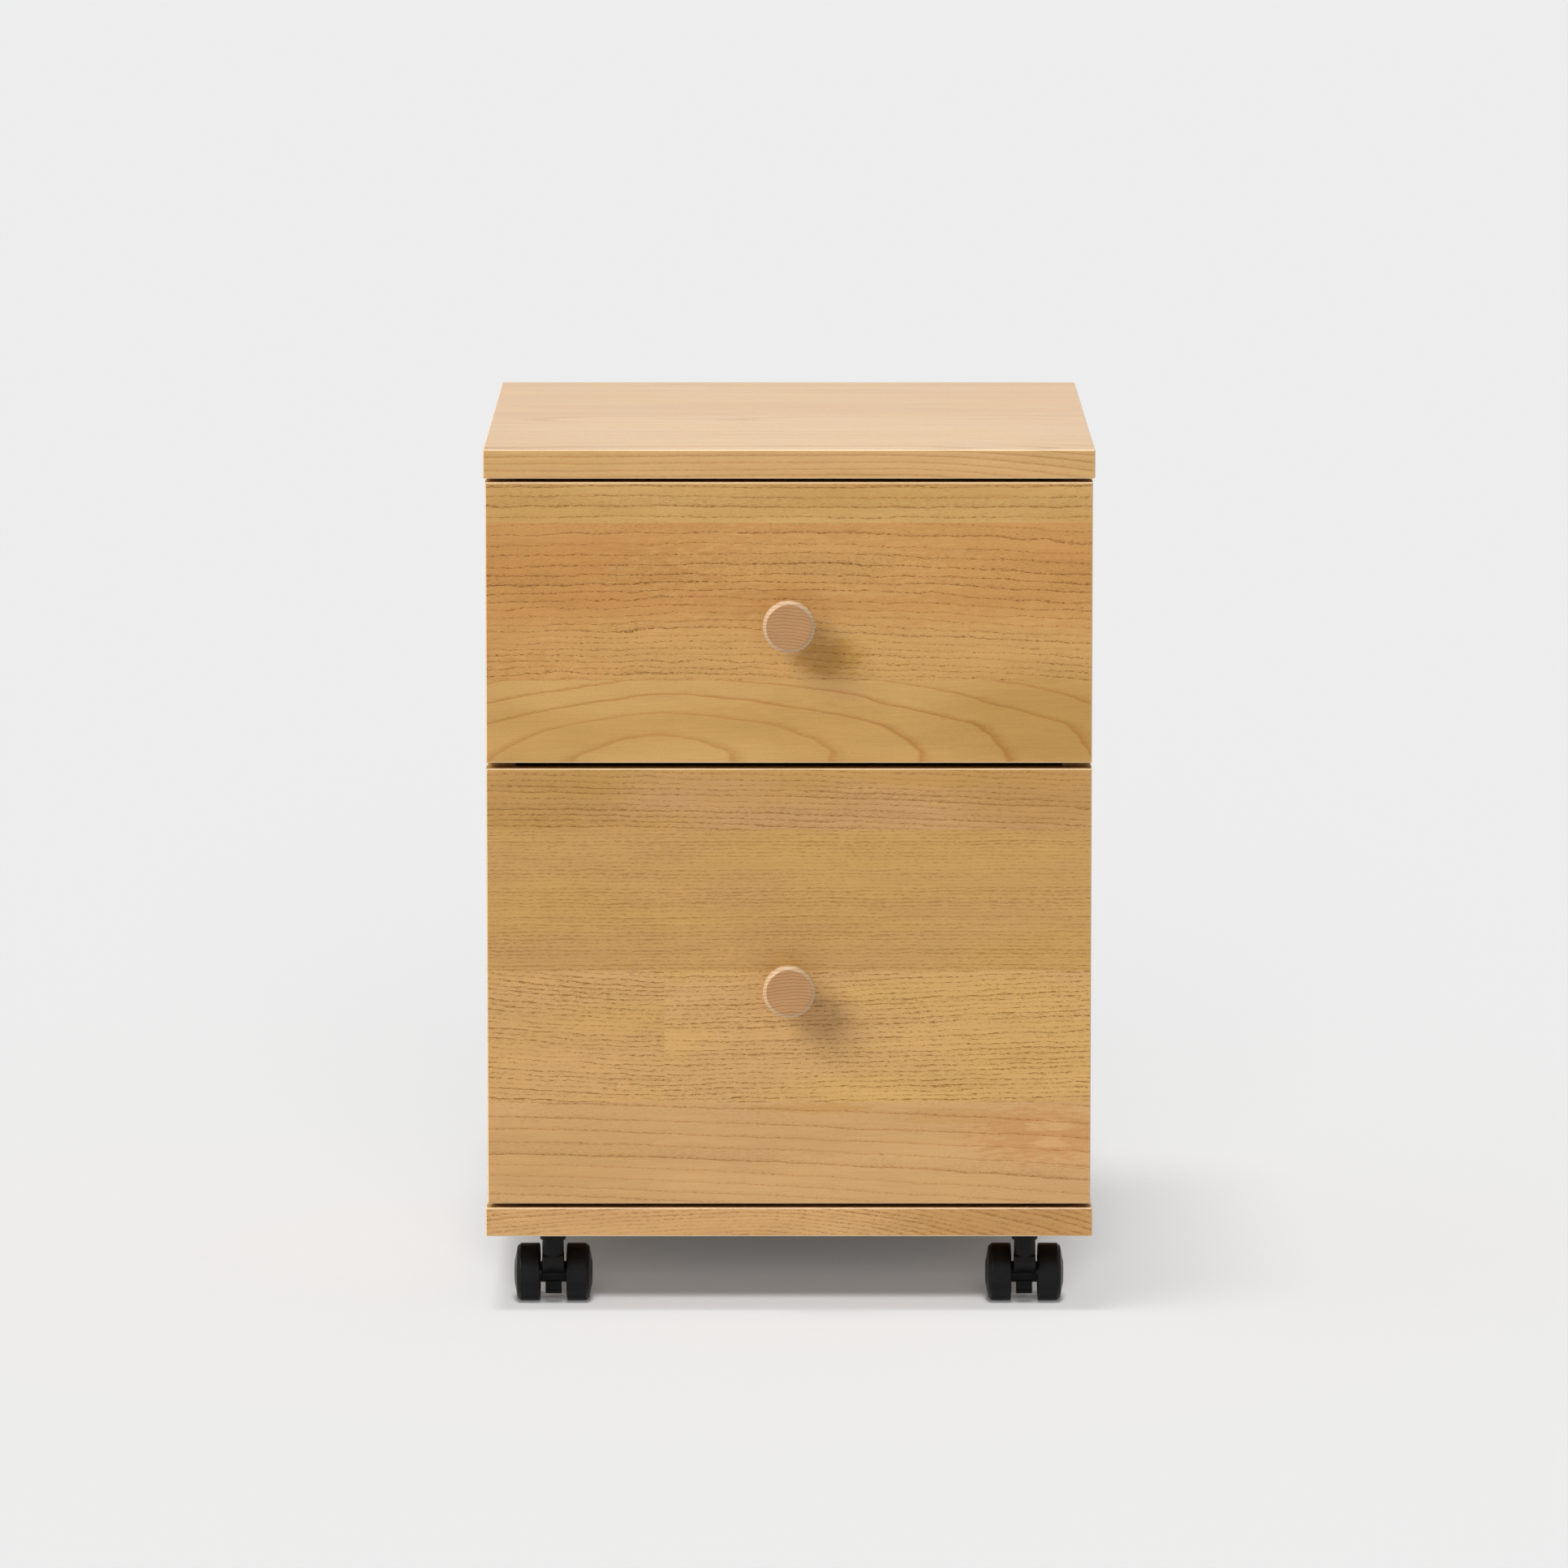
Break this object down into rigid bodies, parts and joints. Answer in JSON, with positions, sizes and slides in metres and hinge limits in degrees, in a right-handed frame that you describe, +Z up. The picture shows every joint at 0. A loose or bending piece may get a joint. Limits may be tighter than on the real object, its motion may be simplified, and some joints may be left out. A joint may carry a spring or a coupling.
{
  "type": "file cabinet",
  "caption": "Wooden mobile file cabinet: a shallow drawer above a deep one for hanging files, round knobs, telescopic slides and swivelling twin-wheel casters.",
  "frame": {"origin": "on the floor, midway in width, and midway in depth between the tips of the knobs and the back edge of the top", "axes": "+X to the right seen from the front, +Y to the back, so the drawers open towards -Y, +Z up"},
  "size_m": [0.42, 0.527, 0.6],
  "materials": {
    "cabinet_wood": "satin clear lacquer on ring-porous hardwood",
    "knob_wood": "turned hardwood, satin",
    "box_wood": "plain pale solid wood, matt",
    "plywood": "thin pale plywood, matt",
    "caster_plastic": "black satin plastic",
    "cage_plastic": "natural white plastic",
    "zinc_steel": "bright zinc-plated rolled steel",
    "bright_steel": "turned steel",
    "aluminium": "natural anodised"
  },
  "bodies": {
    "cabinet": {"top_panel": "cabinet_wood", "bottom_panel": "cabinet_wood", "left_side_panel": "cabinet_wood", "right_side_panel": "cabinet_wood", "back_panel": "cabinet_wood", "carcass_tongues": "plywood", "caster_stems": "bright_steel", "upper_left_slide_rail": "zinc_steel", "upper_right_slide_rail": "zinc_steel", "lower_left_slide_rail": "zinc_steel", "lower_right_slide_rail": "zinc_steel"},
    "upper_drawer": {"upper_front": "cabinet_wood", "upper_knob": "knob_wood", "upper_knob_screw": "bright_steel", "upper_box_left": "box_wood", "upper_box_right": "box_wood", "upper_box_front": "box_wood", "upper_box_back": "box_wood", "upper_box_bottom": "plywood", "upper_left_slide_runner": "zinc_steel", "upper_right_slide_runner": "zinc_steel"},
    "upper_slide_middles": {"upper_left_slide_middle": "zinc_steel", "upper_right_slide_middle": "zinc_steel"},
    "upper_outer_cages": {"upper_outer_ball_retainers": "cage_plastic"},
    "upper_inner_cages": {"upper_inner_ball_retainers": "cage_plastic"},
    "lower_drawer": {"lower_front": "cabinet_wood", "lower_knob": "knob_wood", "lower_knob_screw": "bright_steel", "lower_box_left": "box_wood", "lower_box_right": "box_wood", "lower_box_front": "box_wood", "lower_box_back": "box_wood", "lower_box_bottom": "plywood", "lower_left_slide_runner": "zinc_steel", "lower_right_slide_runner": "zinc_steel", "file_bars": "aluminium"},
    "lower_slide_middles": {"lower_left_slide_middle": "zinc_steel", "lower_right_slide_middle": "zinc_steel"},
    "lower_outer_cages": {"lower_outer_ball_retainers": "cage_plastic"},
    "lower_inner_cages": {"lower_inner_ball_retainers": "cage_plastic"},
    "front_left_caster": {"front_left_caster_housing": "caster_plastic", "front_left_caster_axle": "bright_steel"},
    "front_left_caster_left_roller": {"front_left_caster_left_wheel": "caster_plastic"},
    "front_left_caster_right_roller": {"front_left_caster_right_wheel": "caster_plastic"},
    "front_right_caster": {"front_right_caster_housing": "caster_plastic", "front_right_caster_axle": "bright_steel"},
    "front_right_caster_left_roller": {"front_right_caster_left_wheel": "caster_plastic"},
    "front_right_caster_right_roller": {"front_right_caster_right_wheel": "caster_plastic"},
    "back_left_caster": {"back_left_caster_housing": "caster_plastic", "back_left_caster_axle": "bright_steel"},
    "back_left_caster_left_roller": {"back_left_caster_left_wheel": "caster_plastic"},
    "back_left_caster_right_roller": {"back_left_caster_right_wheel": "caster_plastic"},
    "back_right_caster": {"back_right_caster_housing": "caster_plastic", "back_right_caster_axle": "bright_steel"},
    "back_right_caster_left_roller": {"back_right_caster_left_wheel": "caster_plastic"},
    "back_right_caster_right_roller": {"back_right_caster_right_wheel": "caster_plastic"}
  },
  "joints": [
    {"name": "upper_drawer_slide", "type": "slide", "parent": "cabinet", "child": "upper_drawer", "axis": [0, -1, 0], "range_m": [0, 0.42]},
    {"name": "upper_slide_middles_slide", "type": "slide", "parent": "cabinet", "child": "upper_slide_middles", "axis": [0, -1, 0], "range_m": [0, 0.21]},
    {"name": "upper_outer_cages_slide", "type": "slide", "parent": "cabinet", "child": "upper_outer_cages", "axis": [0, -1, 0], "range_m": [0, 0.105]},
    {"name": "upper_inner_cages_slide", "type": "slide", "parent": "cabinet", "child": "upper_inner_cages", "axis": [0, -1, 0], "range_m": [0, 0.315]},
    {"name": "lower_drawer_slide", "type": "slide", "parent": "cabinet", "child": "lower_drawer", "axis": [0, -1, 0], "range_m": [0, 0.42]},
    {"name": "lower_slide_middles_slide", "type": "slide", "parent": "cabinet", "child": "lower_slide_middles", "axis": [0, -1, 0], "range_m": [0, 0.21]},
    {"name": "lower_outer_cages_slide", "type": "slide", "parent": "cabinet", "child": "lower_outer_cages", "axis": [0, -1, 0], "range_m": [0, 0.105]},
    {"name": "lower_inner_cages_slide", "type": "slide", "parent": "cabinet", "child": "lower_inner_cages", "axis": [0, -1, 0], "range_m": [0, 0.315]},
    {"name": "front_left_caster_swivel", "type": "hinge", "parent": "cabinet", "child": "front_left_caster", "pos_m": [-0.164, -0.2055, 0], "axis": [0, 0, 1], "continuous": true},
    {"name": "front_left_caster_left_roll", "type": "hinge", "parent": "front_left_caster", "child": "front_left_caster_left_roller", "pos_m": [-0.164, -0.19, 0.02], "axis": [1, 0, 0], "continuous": true},
    {"name": "front_left_caster_right_roll", "type": "hinge", "parent": "front_left_caster", "child": "front_left_caster_right_roller", "pos_m": [-0.164, -0.19, 0.02], "axis": [1, 0, 0], "continuous": true},
    {"name": "front_right_caster_swivel", "type": "hinge", "parent": "cabinet", "child": "front_right_caster", "pos_m": [0.164, -0.2055, 0], "axis": [0, 0, 1], "continuous": true},
    {"name": "front_right_caster_left_roll", "type": "hinge", "parent": "front_right_caster", "child": "front_right_caster_left_roller", "pos_m": [0.164, -0.19, 0.02], "axis": [1, 0, 0], "continuous": true},
    {"name": "front_right_caster_right_roll", "type": "hinge", "parent": "front_right_caster", "child": "front_right_caster_right_roller", "pos_m": [0.164, -0.19, 0.02], "axis": [1, 0, 0], "continuous": true},
    {"name": "back_left_caster_swivel", "type": "hinge", "parent": "cabinet", "child": "back_left_caster", "pos_m": [-0.164, 0.2175, 0], "axis": [0, 0, 1], "continuous": true},
    {"name": "back_left_caster_left_roll", "type": "hinge", "parent": "back_left_caster", "child": "back_left_caster_left_roller", "pos_m": [-0.164, 0.233, 0.02], "axis": [1, 0, 0], "continuous": true},
    {"name": "back_left_caster_right_roll", "type": "hinge", "parent": "back_left_caster", "child": "back_left_caster_right_roller", "pos_m": [-0.164, 0.233, 0.02], "axis": [1, 0, 0], "continuous": true},
    {"name": "back_right_caster_swivel", "type": "hinge", "parent": "cabinet", "child": "back_right_caster", "pos_m": [0.164, 0.2175, 0], "axis": [0, 0, 1], "continuous": true},
    {"name": "back_right_caster_left_roll", "type": "hinge", "parent": "back_right_caster", "child": "back_right_caster_left_roller", "pos_m": [0.164, 0.233, 0.02], "axis": [1, 0, 0], "continuous": true},
    {"name": "back_right_caster_right_roll", "type": "hinge", "parent": "back_right_caster", "child": "back_right_caster_right_roller", "pos_m": [0.164, 0.233, 0.02], "axis": [1, 0, 0], "continuous": true}
  ],
  "couplings": [
    {"joint": "upper_slide_middles_slide", "follows": "upper_drawer_slide", "ratio": 0.5},
    {"joint": "upper_outer_cages_slide", "follows": "upper_drawer_slide", "ratio": 0.25},
    {"joint": "upper_inner_cages_slide", "follows": "upper_drawer_slide", "ratio": 0.75},
    {"joint": "lower_slide_middles_slide", "follows": "lower_drawer_slide", "ratio": 0.5},
    {"joint": "lower_outer_cages_slide", "follows": "lower_drawer_slide", "ratio": 0.25},
    {"joint": "lower_inner_cages_slide", "follows": "lower_drawer_slide", "ratio": 0.75}
  ]
}
